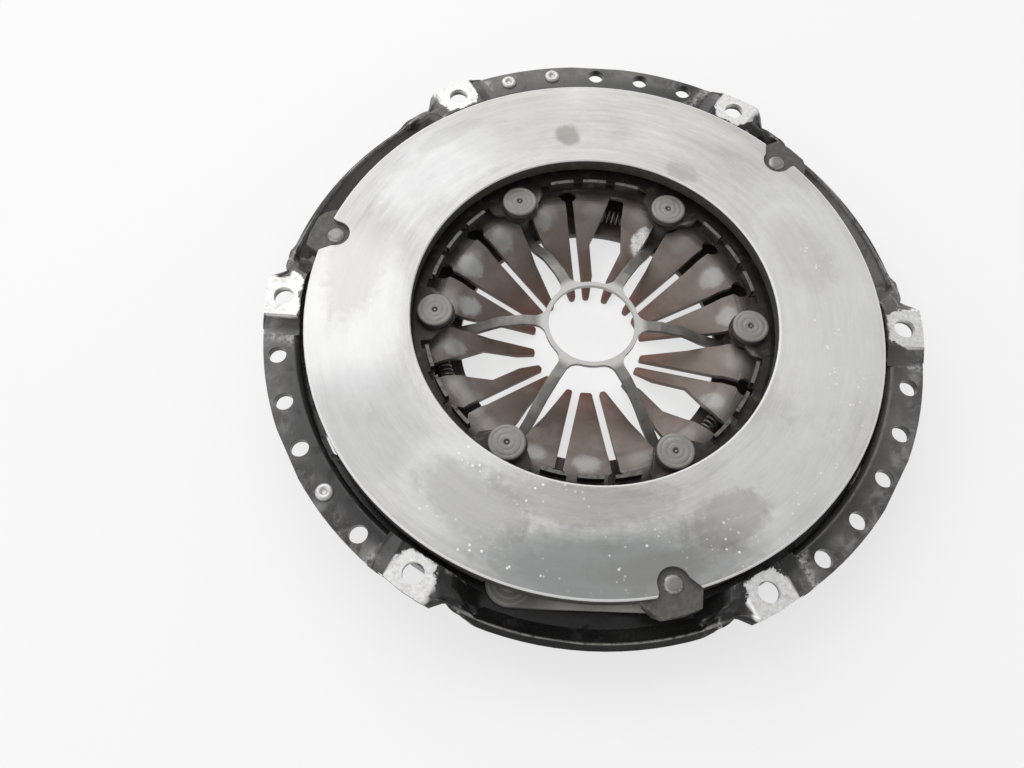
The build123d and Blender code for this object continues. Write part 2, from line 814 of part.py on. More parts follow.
# Adjusting ring: bead under the diaphragm, ramps on the cover's ramps, three arms to the springs
bead_z = spring_top(bead_r) - spring_t / cos(radians(spring_cone)) - contact_gap
ring_base = ramp_low + ramp_height + ramp_gap + ring_seat_play

with BuildPart() as adjusting_ring:
    with BuildSketch(radial_plane(0)):
        with BuildLine():
            Polyline(
                (bead_r + bead_round, bead_z - bead_round),
                (bead_r + bead_round + 0.8, ring_body_top),
                (ring_out_r, ring_body_top),
                (ring_out_r, ring_base),
                (ring_in_r, ring_base),
                (ring_in_r, ring_body_top),
                (bead_r - bead_round - 0.8, ring_body_top),
                (bead_r - bead_round, bead_z - bead_round),
            )
            ThreePointArc(
                (bead_r - bead_round, bead_z - bead_round),
                (bead_r, bead_z),
                (bead_r + bead_round, bead_z - bead_round),
            )
        make_face()
    revolve(axis=Axis.Z)
    with PolarLocations(0, ramps, start_angle=360 / ramps / 2):
        add(ring_ramp)
    for angle in flange_angles:
        end = flat_plane(angle + window_angle, coil_r * cos(radians(coil_half_angle)), coil_z - coil_d / 2)
        with BuildSketch(end):
            with BuildLine():
                Polyline(
                    (-seat_width / 2, coil_half_length),
                    (-seat_width / 2, coil_half_length + seat_t),
                    (ring_in_r - coil_r, coil_half_length + 3 * seat_t),
                    (ring_in_r - coil_r, coil_half_length + seat_t),
                    (seat_width / 2, coil_half_length),
                    close=True,
                )
            make_face()
        extrude(amount=coil_d)
        with BuildSketch(coil_plane(angle, coil_half_length)):
            Circle(nose_d / 2)
        extrude(amount=-nose_length)
save(adjusting_ring, "adjusting_ring")

# Adjuster springs, between the cover's seats and the ring's arms
for n, angle in enumerate(flange_angles):
    start = coil_plane(angle, -coil_half_length + coil_wire / 2)
    mean_r = (coil_d - coil_wire) / 2
    coil_length = 2 * coil_half_length - coil_wire
    with BuildPart() as adjuster_spring:
        with BuildLine() as coil:
            Helix(coil_length / coil_turns, coil_length, mean_r, center=start.origin, direction=start.z_dir)
        with BuildSketch(Plane(origin=coil.line @ 0, z_dir=coil.line % 0)):
            Circle(coil_wire / 2)
        sweep(path=coil.line)
    save(adjuster_spring, f"adjuster_spring_{n + 1}")

# Leaf straps: three stacked leaves at each lug, riveted to the lug and to the cover's shelf
leaf_fall = lug_z - leaves * leaf_t - shelf_z

with BuildSketch() as leaf_plan:
    with Locations((strap_offset, 0)):
        SlotOverall(2 * (strap_reach + strap_half_width), 2 * strap_half_width, rotation=90)
    for along in (strap_reach, -strap_reach):
        with Locations((strap_offset, along)):
            Circle(strap_rivet_d / 2 + fit_gap, mode=Mode.SUBTRACT)

for n, angle in enumerate(pocket_angles):
    side = Plane(origin=(0, 0, 0), x_dir=(*polar(1, angle + 90), 0), z_dir=(*polar(1, angle), 0))
    for k, level in enumerate(("upper", "middle", "lower")):
        high = lug_z - k * leaf_t
        low = high - leaf_fall
        with BuildPart() as leaf:
            with BuildSketch(flat_plane(angle, 0, shelf_z - 1)):
                add(leaf_plan.sketch)
            extrude(amount=lug_z - shelf_z + 2)
            with BuildSketch(side):
                with BuildLine():
                    Polyline(
                        (-2 * strap_reach, low),
                        (strap_flat - strap_reach, low),
                        (strap_reach - strap_flat, high),
                        (2 * strap_reach, high),
                        (2 * strap_reach, high - leaf_t),
                        (strap_reach - strap_flat, high - leaf_t),
                        (strap_flat - strap_reach, low - leaf_t),
                        (-2 * strap_reach, low - leaf_t),
                        close=True,
                    )
                make_face()
            extrude(amount=2 * lug_circle, mode=Mode.INTERSECT)
        save(leaf, f"leaf_strap_{n + 1}_{level}")

# Rivets
plate_rivet = turned(
    [
        (0, lug_top + plate_head_h),
        (plate_rivet_head_d / 2 - 1.2, lug_top + plate_head_h),
        (plate_rivet_head_d / 2, lug_top + plate_head_h - 0.7),
        (plate_rivet_head_d / 2, lug_top),
        (strap_rivet_d / 2, lug_top),
        (strap_rivet_d / 2, lug_z - leaves * leaf_t),
        (rear_rivet_head_d / 2, lug_z - leaves * leaf_t),
        (rear_rivet_head_d / 2 - 1, lug_z - leaves * leaf_t - rivet_head_h),
        (0, lug_z - leaves * leaf_t - rivet_head_h),
    ]
)
with BuildPart() as plate_rivets:
    with PolarLocations(lug_circle, sectors, start_angle=pocket_angles[0] + lug_angle):
        add(plate_rivet)
save(plate_rivets, "plate_rivets")

pack_top = shelf_z + leaves * leaf_t
cover_strap_rivet = turned(
    [
        (0, pack_top + rivet_head_h),
        (cover_rivet_head_d / 2 - 1.4, pack_top + rivet_head_h),
        (cover_rivet_head_d / 2, pack_top + rivet_head_h - 0.9),
        (cover_rivet_head_d / 2, pack_top),
        (strap_rivet_d / 2, pack_top),
        (strap_rivet_d / 2, shelf_z - sheet),
        (rear_rivet_head_d / 2, shelf_z - sheet),
        (rear_rivet_head_d / 2 - 1, shelf_z - sheet - rivet_head_h),
        (0, shelf_z - sheet - rivet_head_h),
    ]
)
with BuildPart() as cover_strap_rivets:
    with PolarLocations(lug_circle, sectors, start_angle=pocket_angles[0] - lug_angle):
        add(cover_strap_rivet)
save(cover_strap_rivets, "cover_strap_rivets")

flange_z = -flange_drop
balance_rivet = turned(
    [
        (0, flange_z + balance_head_h - 1),
        (dimple_d / 2, flange_z + balance_head_h - 1),
        (dimple_d / 2 + 0.5, flange_z + balance_head_h),
        (balance_hole_d / 2 - fit_gap - 0.8, flange_z + balance_head_h),
        (balance_hole_d / 2 - fit_gap, flange_z + balance_head_h - 0.8),
        (balance_hole_d / 2 - fit_gap, flange_z - sheet),
        (balance_rear_d / 2, flange_z - sheet),
        (balance_rear_d / 2, flange_z - sheet - balance_rear_h + 1),
        (balance_rear_d / 2 - 1, flange_z - sheet - balance_rear_h),
        (0, flange_z - sheet - balance_rear_h),
    ]
)
with BuildPart() as balance_rivets:
    for flange, hole in balance_rivet_places:
        with Locations(polar(balance_circle, flange_angles[flange] + hole * balance_pitch)):
            add(balance_rivet)
save(balance_rivets, "balance_rivets")
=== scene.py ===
import json
import math

import bmesh
import bpy
from mathutils import Matrix, Vector


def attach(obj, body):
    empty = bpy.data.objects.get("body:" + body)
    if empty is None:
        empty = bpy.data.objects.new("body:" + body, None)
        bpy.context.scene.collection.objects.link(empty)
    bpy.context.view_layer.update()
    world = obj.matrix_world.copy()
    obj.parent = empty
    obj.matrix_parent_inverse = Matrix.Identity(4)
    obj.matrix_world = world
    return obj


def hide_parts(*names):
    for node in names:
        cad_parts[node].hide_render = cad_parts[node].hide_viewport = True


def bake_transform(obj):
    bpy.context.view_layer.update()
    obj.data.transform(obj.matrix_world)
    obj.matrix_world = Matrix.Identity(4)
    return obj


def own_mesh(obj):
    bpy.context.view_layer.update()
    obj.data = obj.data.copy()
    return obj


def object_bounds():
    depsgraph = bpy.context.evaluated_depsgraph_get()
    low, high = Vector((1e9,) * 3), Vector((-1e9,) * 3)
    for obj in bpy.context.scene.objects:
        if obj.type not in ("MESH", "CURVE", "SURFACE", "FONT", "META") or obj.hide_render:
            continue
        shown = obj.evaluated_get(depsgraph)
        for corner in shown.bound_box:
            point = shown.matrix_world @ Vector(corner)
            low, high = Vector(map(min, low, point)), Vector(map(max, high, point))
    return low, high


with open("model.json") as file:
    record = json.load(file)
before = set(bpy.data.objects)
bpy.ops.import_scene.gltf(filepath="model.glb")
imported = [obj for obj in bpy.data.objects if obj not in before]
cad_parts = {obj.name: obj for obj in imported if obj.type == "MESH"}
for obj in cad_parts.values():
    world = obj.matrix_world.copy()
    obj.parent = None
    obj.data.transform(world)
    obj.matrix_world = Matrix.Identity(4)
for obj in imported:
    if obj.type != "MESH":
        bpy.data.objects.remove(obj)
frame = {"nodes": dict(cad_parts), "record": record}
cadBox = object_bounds()
nodes = frame["nodes"]
bodyOf = {node: body for body, members in frame["record"]["behaviour"]["bodies"].items() for node in members}
mm = 0.001
deg = math.pi / 180
# radii that pieces and finishes share, in millimetres; in degrees, the strap pockets and how far each
# way from a pocket's middle its two rivets stand
circles = {"bolts": 68.1, "straps": 117.8, "drains": 130.3, "ears": 132.1, "balance": 133.8}
pocketTurns = [30, 150, 270]
lugTurn = 14.8
scene = bpy.context.scene
print("frame loaded,", len(nodes), "nodes")


class Wire:
    # one socket of a node tree, with its sums written as Python
    def __init__(self, plan, socket):
        self.plan = plan
        self.socket = socket

    def calc(self, operation, other=0.0, third=0.0):
        return self.plan.node("ShaderNodeMath", {"operation": operation}, {0: self, 1: other, 2: third})

    def __add__(self, other):
        return self.calc("ADD", other)

    __radd__ = __add__

    def __mul__(self, other):
        return self.calc("MULTIPLY", other)

    __rmul__ = __mul__

    def __sub__(self, other):
        return self.calc("SUBTRACT", other)

    def __rsub__(self, other):
        return (self * -1.0) + other

    def __truediv__(self, other):
        return self.calc("DIVIDE", other)

    def __rtruediv__(self, other):
        return self.calc("POWER", -1.0) * other

    def __abs__(self):
        return self.calc("ABSOLUTE")

    def __mod__(self, other):
        return self.calc("FLOORED_MODULO", other)

    def lower(self, other):
        return self.calc("MINIMUM", other)

    def higher(self, other):
        return self.calc("MAXIMUM", other)

    def step(self, low, high, gain=1.0):
        # 0 at low, gain at high, smooth between; low may be the larger of the two
        return self.plan.node(
            "ShaderNodeMapRange", {"interpolation_type": "SMOOTHSTEP"}, {0: self, 1: low, 2: high, 3: 0.0, 4: gain}
        )


class Plan:
    # a node tree; node() makes any node from its type, settings and sockets
    def node(self, kind, settings=None, sockets=None, output=0):
        made = self.tree.nodes.new(kind)
        for key, value in (settings or {}).items():
            if key == "stops":
                ramp = made.color_ramp.elements
                while len(ramp) < len(value):
                    ramp.new(0.5)
                for stop, (place, colour) in zip(ramp, value):
                    stop.position = place
                    stop.color = (*colour, 1.0)
            else:
                setattr(made, key, value)
        for key, value in (sockets or {}).items():
            self.plug(made.inputs[key], value)
        return Wire(self, made.outputs[output])

    def plug(self, socket, value):
        if isinstance(value, Wire):
            self.tree.links.new(value.socket, socket)
        elif isinstance(value, tuple) and socket.type == "RGBA":
            socket.default_value = (*value[:3], 1.0)
        else:
            socket.default_value = value

    def vector(self, x, y, z):
        return self.node("ShaderNodeCombineXYZ", sockets={0: x, 1: y, 2: z})

    def parts(self, vector):
        return [self.node("ShaderNodeSeparateXYZ", sockets={0: vector}, output=k) for k in (0, 1, 2)]


class Finish(Plan):
    def __init__(self, name):
        self.material = bpy.data.materials.new(name)
        self.material.use_nodes = True
        self.tree = self.material.node_tree
        self.shader = self.tree.nodes["Principled BSDF"]
        self.place = self.node("ShaderNodeTexCoord", output="Object")
        self.x, self.y, self.z = self.parts(self.place)
        self.radius = (self.x * self.x + self.y * self.y).calc("SQRT")
        self.angle = self.y.calc("ARCTAN2", self.x)
        self.up = self.parts(self.node("ShaderNodeNewGeometry", output="Normal"))[2]

    def noise(self, size, detail=4.0, rough=0.55, twist=0.0, place=None, seed=0.0):
        # size is the width of a blotch in metres
        return self.node(
            "ShaderNodeTexNoise",
            {"noise_dimensions": "4D"},
            {
                "Vector": place or self.place,
                "W": seed,
                "Scale": 1.0 / size,
                "Detail": detail,
                "Roughness": rough,
                "Distortion": twist,
            },
        )

    def specks(self, size, reach, seed=0.0, place=None):
        # small dots: 1 at their middles, 0 beyond reach, a share of their spacing
        cell = self.node(
            "ShaderNodeTexVoronoi",
            {"voronoi_dimensions": "4D"},
            {"Vector": place or self.place, "W": seed, "Scale": 1.0 / size},
        )
        return cell.step(reach, reach * 0.4)

    def around(self, ring, pitch, start=0.0):
        # distance out from the ring and distance along it, both from the nearest of its evenly spaced places
        turn = (self.angle - (start - pitch / 2) * deg) % (pitch * deg) - pitch / 2 * deg
        return self.radius - ring, turn * self.radius

    def swept(self, turnLength):
        # a place for patterns drawn out along the turning; turnLength is how far one radian counts
        return self.vector(self.radius, self.x / self.radius * turnLength, self.y / self.radius * turnLength)

    def near(self, ring, pitch, start=0.0):
        out, along = self.around(ring, pitch, start)
        return (out * out + along * along).calc("SQRT")

    def spot(self, ring, turn, wide, long, ragged=None):
        # one mark: 1 inside an ellipse wide across and long along the circle through its middle
        out = (self.radius - ring) / wide
        along = ((self.angle - (turn - 180) * deg) % math.tau - math.pi) * ring / long
        reach = out * out + along * along
        return (reach + (ragged if ragged else 0.0)).step(1.3, 0.35)

    def ramp(self, value, *stops):
        return self.node("ShaderNodeValToRGB", {"stops": stops}, {0: value})

    def grey(self, value, low, high):
        return self.node("ShaderNodeMapRange", {}, {0: value, 1: 0.3, 2: 0.7, 3: low, 4: high})

    def mix(self, share, first, second):
        return self.node("ShaderNodeMix", {"data_type": "RGBA"}, {0: share, 6: first, 7: second}, 2)

    def bump(self, height, depth, strength=1.0, under=None):
        sockets = {"Height": height, "Distance": depth, "Strength": strength}
        if under:
            sockets["Normal"] = under
        return self.node("ShaderNodeBump", {}, sockets)

    def worn(self, size=1.2 * mm, low=0.35, high=0.6, seed=11.0):
        # rubbed corners: follows the attribute that workedCopy leaves on them
        paleMark = self.node("ShaderNodeAttribute", {"attribute_name": "wear"}, output="Fac")
        return paleMark.step(0.1, 0.8) * self.noise(size, 4.0, 0.65, seed=seed).step(low, high)

    def done(self, **sockets):
        names = {"colour": "Base Color", "rough": "Roughness", "metal": "Metallic", "normal": "Normal"}
        for key, value in sockets.items():
            self.plug(self.shader.inputs[names[key]], value)
        return self.material


castFace = {
    "top": 2.75 * mm,
    "dark": (0.46, 0.455, 0.44),
    "light": (0.78, 0.775, 0.755),
    "cool": (0.27, 0.285, 0.285),
    "stain": (0.22, 0.20, 0.175),
    "pit": (0.95, 0.94, 0.9),
    "turning": 0.3 * mm,
    # heat marks: radius, angle, half width, half length
    "marks": [
        (92.8, 98.5, 6.5, 6.0, 0.6),
        (103, -60, 11, 20, 0.4),
        (84, 62, 5, 9, 0.3),
        (98, -118, 14, 26, 0.35),
        (86, -92, 9, 40, 0.35),
        (112, -78, 7, 26, 0.3),
        (104, 172, 13, 30, 0.22),
        (112, 128, 5, 18, 0.2),
        (96, 20, 14, 22, 0.16),
    ],
    # broad shades: radius, angle, half width, half length, share, colour
    "tints": [
        (100, 136, 18, 34, 0.4, (0.86, 0.88, 0.89)),
        (104, 112, 20, 30, 0.35, (0.52, 0.51, 0.49)),
        (106, -148, 24, 28, 0.4, (0.46, 0.48, 0.48)),
        (96, -122, 22, 24, 0.45, (0.80, 0.82, 0.81)),
        (100, 4, 30, 70, 0.5, (0.88, 0.88, 0.86)),
        (102, -44, 26, 30, 0.4, (0.80, 0.81, 0.79)),
        (112, -88, 14, 40, 0.5, (0.24, 0.255, 0.25)),
    ],
    # bright strings of pits: radius, angle, half width, half length
    "strings": [
        (107, -75, 13, 34),
        (116, -58, 5, 20),
        (84, -108, 8, 40),
        (112, -110, 7, 34),
        (100, 2, 9, 40),
        (112, -30, 6, 40),
    ],
}


def castIron():
    f = Finish("castIron")
    c = castFace
    onFace = f.z.step(c["top"] - 0.5 * mm, c["top"])
    turned = f.swept(6 * mm)
    swept = f.swept(30 * mm)
    fine = f.noise(c["turning"], 3.0, 0.6, place=turned)
    broad = f.noise(2.2 * mm, 4.0, 0.65, place=turned, seed=3.0)
    smear = f.noise(7 * mm, 5.0, 0.62, 0.3, place=swept, seed=6.0)
    cloud = f.noise(30 * mm, 4.0, 0.6, 0.6, seed=1.0)
    ragged = (f.noise(6 * mm, 5.0, 0.65, 0.5, seed=7.0) - 0.5) * 2.2
    tone = fine * 0.22 + broad * 0.28 + smear * 0.25 + cloud * 0.25
    face = f.ramp(tone, (0.36, c["dark"]), (0.64, c["light"]))
    low = f.spot(114 * mm, -86, 20 * mm, 62 * mm, ragged * 0.5)
    face = f.mix(low * 0.7, face, c["cool"])
    face = f.mix(smear.step(0.52, 0.72) * (low * 0.3 + 0.22), face, c["stain"])
    # painted highlight: a near-white blotch over the face's left side
    face = f.mix(f.spot(103 * mm, -176, 24 * mm, 44 * mm, ragged * 0.3) * 0.62, face, (0.93, 0.93, 0.93))
    for ring, turn, wide, long, share, tint in c["tints"]:
        face = f.mix(f.spot(ring * mm, turn, wide * mm, long * mm, ragged * 0.5) * share, face, tint)
    for ring, turn, wide, long, share in c["marks"]:
        face = f.mix(f.spot(ring * mm, turn, wide * mm, long * mm, ragged) * share, face, c["stain"])
    bright = f.specks(2.1 * mm, 0.36, 2.0, place=f.vector(f.x, f.y, 0.0))
    bright = bright * f.noise(7 * mm, 3.0, seed=9.0).step(0.46, 0.54)
    where = 0.10
    for ring, turn, wide, long in c["strings"]:
        where = f.spot(ring * mm, turn, wide * mm, long * mm, ragged * 0.5) + where
    pits = (bright * where).lower(1.0)
    face = f.mix(pits, face, c["pit"])
    # painted highlight: a bright line along the face's outer and bore edges, which are also made less metallic
    rimHighlight = f.radius.step(121.0 * mm, 121.3 * mm).higher(f.radius.step(78.7 * mm, 78.4 * mm))
    rimHighlight = rimHighlight * f.z.step(2.3 * mm, 2.5 * mm)
    face = f.mix(rimHighlight * 0.85, face, (0.95, 0.94, 0.92))
    lugTop = f.z.step(0.5 * mm, 0.9 * mm) * (1.0 - f.z.step(1.3 * mm, 1.6 * mm)) * f.radius.step(105 * mm, 107 * mm)
    raw = f.ramp(f.noise(3 * mm, 6.0, 0.7), (0.3, (0.055, 0.05, 0.045)), (0.7, (0.135, 0.122, 0.108)))
    lug = f.ramp(f.noise(2.4 * mm, 6.0, 0.7, 0.4), (0.35, (0.085, 0.08, 0.074)), (0.68, (0.16, 0.15, 0.14)))
    lug = f.mix(f.specks(1.6 * mm, 0.2, 5.0) * 0.6, lug, (0.32, 0.31, 0.29))
    raw = f.mix(lugTop, raw, lug)
    raw = f.mix(f.worn(1.5 * mm, 0.3, 0.6) * 0.55, raw, (0.4, 0.39, 0.37))
    grain = f.noise(0.8 * mm, 4.0, 0.7, seed=2.0)
    lines = f.bump(fine + broad * 0.8, 0.010 * mm, onFace)
    dents = f.bump(pits, 0.06 * mm, onFace, lines)
    return f.done(
        colour=f.mix(onFace, raw, face),
        rough=onFace * (f.grey(smear, 0.38, 0.52) - 0.62) + 0.62,
        metal=(onFace * 0.02 + 0.3) * (1.0 - rimHighlight * 0.8),
        normal=f.bump(grain, 0.10 * mm, 1.0 - onFace, dents),
    )


# bare metal on the ears, and a painted highlight along the pockets' rims
earWearAndRimHighlight = {
    "ring": circles["ears"] * mm,
    "inwards": 7.0 * mm,
    "along": 9.4 * mm,
    "flare": 0.5,
    "ragged": 9.0 * mm,
    "crestHighlight": 135.2 * mm,
}


def coverPaint():
    f = Finish("coverPaint")
    e = earWearAndRimHighlight
    chipped = f.noise(4.5 * mm, 6.0, 0.68, 0.5, seed=2.0) - 0.5
    flake = f.noise(1.3 * mm, 4.0, 0.7, 0.3, seed=12.0) - 0.5
    out, along = f.around(e["ring"], 60)
    wide = out * e["flare"] + (f.x * -1.0).step(100 * mm, 130 * mm, 3.5 * mm) + e["along"]
    reach = (abs(along) - wide + (chipped * e["ragged"] + flake * 2.5 * mm)).step(0.8 * mm, 0.0)
    inner = (out + chipped * e["ragged"] * 0.8).step(-e["inwards"] - 0.5 * mm, -e["inwards"] + 0.5 * mm)
    bareness = f.z.step(-1.3 * mm, -0.5 * mm) * reach * inner
    hole = f.near(e["ring"], 60)
    seat = hole.step(6.0 * mm, 5.2 * mm) * f.z.step(-3.2 * mm, -1.4 * mm)
    level = f.up.step(0.55, 0.92)
    sheared = (1.0 - abs(f.up).step(0.25, 0.6)) * f.radius.step(132.0 * mm, 133.2 * mm)
    dust = f.noise(10 * mm, 5.0, 0.7, 0.6, seed=5.0).step(0.44, 0.7)
    film = f.noise(26 * mm, 3.0, 0.6, 0.4, seed=6.0).step(0.4, 0.65)
    scuffs = f.noise(1.8 * mm, 4.0, 0.7, 1.2, seed=8.0).step(0.63, 0.72)
    flange = level * f.z.step(-3.4 * mm, -2.9 * mm) * f.radius.step(128.5 * mm, 136.5 * mm)
    paint = f.ramp(f.noise(18 * mm, 4.0, 0.6), (0.3, (0.009, 0.009, 0.0092)), (0.7, (0.02, 0.0195, 0.019)))
    inside = f.radius.step(104 * mm, 96 * mm)
    paleSide = (f.x * -0.75 + f.y * 0.6).step(30 * mm, 125 * mm)
    paint = f.mix(inside * (film * 0.3 + 0.45), paint, (0.13, 0.11, 0.095))
    paint = f.mix(paleSide * (0.42 + film * 0.2), paint, (0.16, 0.155, 0.15))
    paint = f.mix(f.x.step(70 * mm, 132 * mm) * (0.4 + film * 0.35), paint, (0.19, 0.182, 0.172))
    paint = f.mix(film * flange * 0.7, paint, (0.15, 0.143, 0.136))
    paint = f.mix(dust * flange * 0.8, paint, (0.27, 0.25, 0.23))
    paint = f.mix(scuffs * flange * 0.45, paint, (0.5, 0.48, 0.46))
    paint = f.mix(f.specks(2.6 * mm, 0.11, 6.0) * level * 0.3, paint, (0.2, 0.19, 0.18))
    cut = f.ramp(f.noise(1.2 * mm, 4.0, 0.7, seed=4.0), (0.3, (0.03, 0.03, 0.03)), (0.7, (0.10, 0.097, 0.092)))
    paint = f.mix(sheared * 0.8, paint, cut)
    pocket = f.z.step(-7.0 * mm, -8.0 * mm) * f.radius.step(104 * mm, 106 * mm)
    paint = f.mix(f.worn(1.6 * mm, 0.40, 0.6) * 0.75 * (1.0 - pocket), paint, (0.5, 0.49, 0.47))
    # painted highlight: a broken bright line along the crest of each pocket's rim
    crestHighlight = abs(f.radius - e["crestHighlight"]).step(0.75 * mm, 0.25 * mm)
    crestHighlight = crestHighlight * f.z.step(-9.6 * mm, -8.8 * mm) * f.z.step(-4.0 * mm, -6.5 * mm)
    paint = f.mix(crestHighlight * f.noise(3 * mm, 4.0, 0.7, seed=17.0).step(0.3, 0.55) * 0.85, paint, (0.42, 0.41, 0.39))
    metal = f.ramp(f.noise(1.5 * mm, 5.0, 0.7, 0.6, seed=3.0), (0.3, (0.60, 0.59, 0.57)), (0.6, (0.90, 0.90, 0.88)))
    metal = f.mix(f.noise(5 * mm, 5.0, 0.7, seed=13.0).step(0.54, 0.7) * 0.5, metal, (0.40, 0.36, 0.32))
    bare = bareness.higher(seat * 0.9)
    skin = f.bump(f.noise(1.0 * mm, 3.0, 0.6), 0.02 * mm)
    return f.done(
        colour=f.mix(bare, paint, metal),
        rough=bare * 0.12 + f.grey(dust, 0.24, 0.5) + film * flange * 0.14,
        metal=bare * 0.5,
        normal=f.bump(bare, -0.07 * mm, 1.0, skin),
    )


fingers = {
    "pitch": 20.0,
    "tip": (0.20, 0.095, 0.072),
    "middle": (0.150, 0.108, 0.090),
    "outer": (0.185, 0.150, 0.132),
    # painted highlights on the fingers' bends: radius, angle, half width, half length
    "bendHighlights": [
        (55.0, 169.5, 5.5, 5.0, 0.95),
        (62.0, 152.5, 6.5, 5.5, 0.85),
        (62.0, 173.0, 3.5, 4.0, 0.6),
        (60.5, 133.0, 6.0, 5.0, 0.5),
        (61.0, 112.0, 5.0, 4.5, 0.5),
        (60.0, -168.0, 5.0, 4.5, 0.7),
        (62.0, -142.0, 6.0, 7.0, 0.4),
        (62.0, 28.0, 6.0, 5.0, 0.6),
        (62.0, 9.0, 5.0, 5.0, 0.5),
        (63.0, -91.0, 4.5, 6.0, 0.6),
        (63.0, -111.0, 4.0, 5.0, 0.5),
        (61.0, -31.0, 5.0, 4.0, 0.5),
    ],
    "paleMark": (0.40, 0.39, 0.37),
    "highlightRing": 63.0 * mm,
    "turn": -0.6,
}


def diaphragmSteel():
    f = Finish("diaphragmSteel")
    c = fingers
    cloud = f.noise(12 * mm, 5.0, 0.6, 0.4)
    # reddish towards the fingers' tips; beyond 70 mm, under the sensor ring and the plate, the sheet is darkened as
    # painted shade
    base = f.ramp(
        f.radius * (1.0 / 0.1),
        (0.26, c["tip"]),
        (0.40, c["middle"]),
        (0.56, c["outer"]),
        (0.70, (0.17, 0.15, 0.135)),
        (0.78, (0.09, 0.08, 0.07)),
    )
    base = f.mix(cloud.step(0.42, 0.7) * 0.35, base, (0.30, 0.265, 0.235))
    base = f.mix(f.noise(3 * mm, 5.0, 0.7, seed=4.0).step(0.5, 0.7) * 0.25, base, (0.09, 0.075, 0.065))
    ragged = (f.noise(4 * mm, 4.0, 0.6, 0.5, seed=2.0) - 0.5) * 5 * mm
    # painted highlight: a pale blotch on each finger's bend near 63 mm, stronger towards the pale side
    mid = f.near(c["highlightRing"], c["pitch"], c["pitch"] / 2 + c["turn"])
    paleSide = (f.x * -0.9 + f.y * 0.3).step(0.0, 60 * mm)
    brightened = (mid + ragged).step(7.5 * mm, 1.5 * mm) * (paleSide * 0.6 + 0.6)
    crushed = f.spot(54.0 * mm, 64.0, 6.5 * mm, 5.0 * mm, (f.noise(3 * mm, 4.0, 0.7, seed=21.0) - 0.5) * 2.5)
    crumple = f.noise(1.6 * mm, 3.0, 0.6, 1.5, seed=22.0)
    colour = f.mix(brightened * 0.45, base, c["paleMark"])
    torn = (f.noise(2.6 * mm, 5.0, 0.66, 0.5, seed=31.0) - 0.5) * 1.8
    # further painted highlights on single fingers' bends
    for ring, turn, wide, long, share in c["bendHighlights"]:
        colour = f.mix(f.spot(ring * mm, turn, wide * mm, long * mm, torn) * share * 0.9, colour, (0.46, 0.465, 0.445))
    colour = f.mix(crushed * (crumple.step(0.3, 0.5) * 0.55 + 0.45), colour, (0.95, 0.93, 0.92))
    colour = f.mix(f.worn(1.4 * mm, 0.3, 0.6) * 0.5, colour, (0.45, 0.43, 0.4))
    grain = f.noise(0.9 * mm, 4.0, 0.7, seed=5.0)
    return f.done(
        colour=colour,
        rough=f.grey(cloud, 0.42, 0.58) - brightened * 0.08,
        metal=0.45,
        normal=f.bump(crumple, 0.7 * mm, crushed, f.bump(grain, 0.04 * mm)),
    )


def plainSteel(name, dark, light, rough=0.5, metal=0.6, grain=0.03, blotch=6.0, edge=(0.5, 0.49, 0.47), extra=None):
    f = Finish(name)
    cloud = f.noise(blotch * mm, 5.0, 0.65, 0.4)
    fine = f.noise(0.8 * mm, 4.0, 0.7, seed=5.0)
    colour = f.ramp(cloud, (0.3, dark), (0.7, light))
    colour = f.mix(f.specks(2.2 * mm, 0.13, 3.0) * 0.4, colour, tuple(0.4 * k for k in dark))
    colour = f.mix(f.worn(1.0 * mm, 0.3, 0.55) * 0.6, colour, edge)
    if extra:
        colour = extra(f, colour)
    return f.done(
        colour=colour, rough=f.grey(fine, rough - 0.06, rough + 0.08), metal=metal, normal=f.bump(fine, grain * mm)
    )


def sensorShade(f, colour):
    # the tabs' sheared tops are bare
    tops = f.z.step(-4.75 * mm, -4.45 * mm) * f.noise(2.5 * mm, 3.0, 0.6, seed=8.0).step(0.3, 0.55)
    colour = f.mix(f.noise(5 * mm, 4.0, seed=4.0).step(0.55, 0.7) * 0.5, colour, (0.16, 0.13, 0.105))
    return f.mix(tops * 0.6, colour, (0.26, 0.25, 0.235))


def boltShade(f, colour):
    # turning marks about each head's own middle
    off = f.near(circles["bolts"] * mm, 60)
    head = f.z.step(-5.6 * mm, -5.2 * mm)
    rings = (off * (1.0 / (0.45 * mm)) * math.tau).calc("SINE") * 0.5 + 0.5
    colour = f.mix(rings * head * 0.12, colour, (0.15, 0.145, 0.14))
    colour = f.mix(off.step(1.6 * mm, 0.9 * mm) * head * 0.75, colour, (0.06, 0.055, 0.05))
    colour = f.mix(off.step(0.55 * mm, 0.25 * mm) * head * 0.7, colour, (0.6, 0.59, 0.57))
    # painted shade: everything below the head's top face is darkened
    return f.mix((1.0 - head) * 0.8, colour, (0.07, 0.065, 0.06))


def strapShade(f, colour):
    # darker towards the cover's rivets, with the marks of their washers
    off = f.near(circles["straps"] * mm, 120, pocketTurns[0] - lugTurn)
    colour = f.mix(off.step(24 * mm, 9 * mm) * 0.7, colour, (0.10, 0.09, 0.08))
    washer = abs(off - 6.2 * mm).step(0.5 * mm, 0.2 * mm).higher(abs(off - 8.4 * mm).step(0.45 * mm, 0.15 * mm))
    return f.mix(washer * 0.35, colour, (0.5, 0.48, 0.44))


def ringShade(f, colour):
    return f.mix(f.radius.step(25 * mm, 21.2 * mm) * 0.75, colour, (0.62, 0.61, 0.59))


def rivetShade(f, colour):
    # rubbed round the heads' rims
    off = f.near(circles["straps"] * mm, 120, pocketTurns[0] + lugTurn)
    brightened = off.step(2.4 * mm, 3.2 * mm) * f.noise(1.5 * mm, 3.0, seed=9.0).step(0.35, 0.6)
    return f.mix(brightened * 0.7, colour, (0.62, 0.61, 0.58))


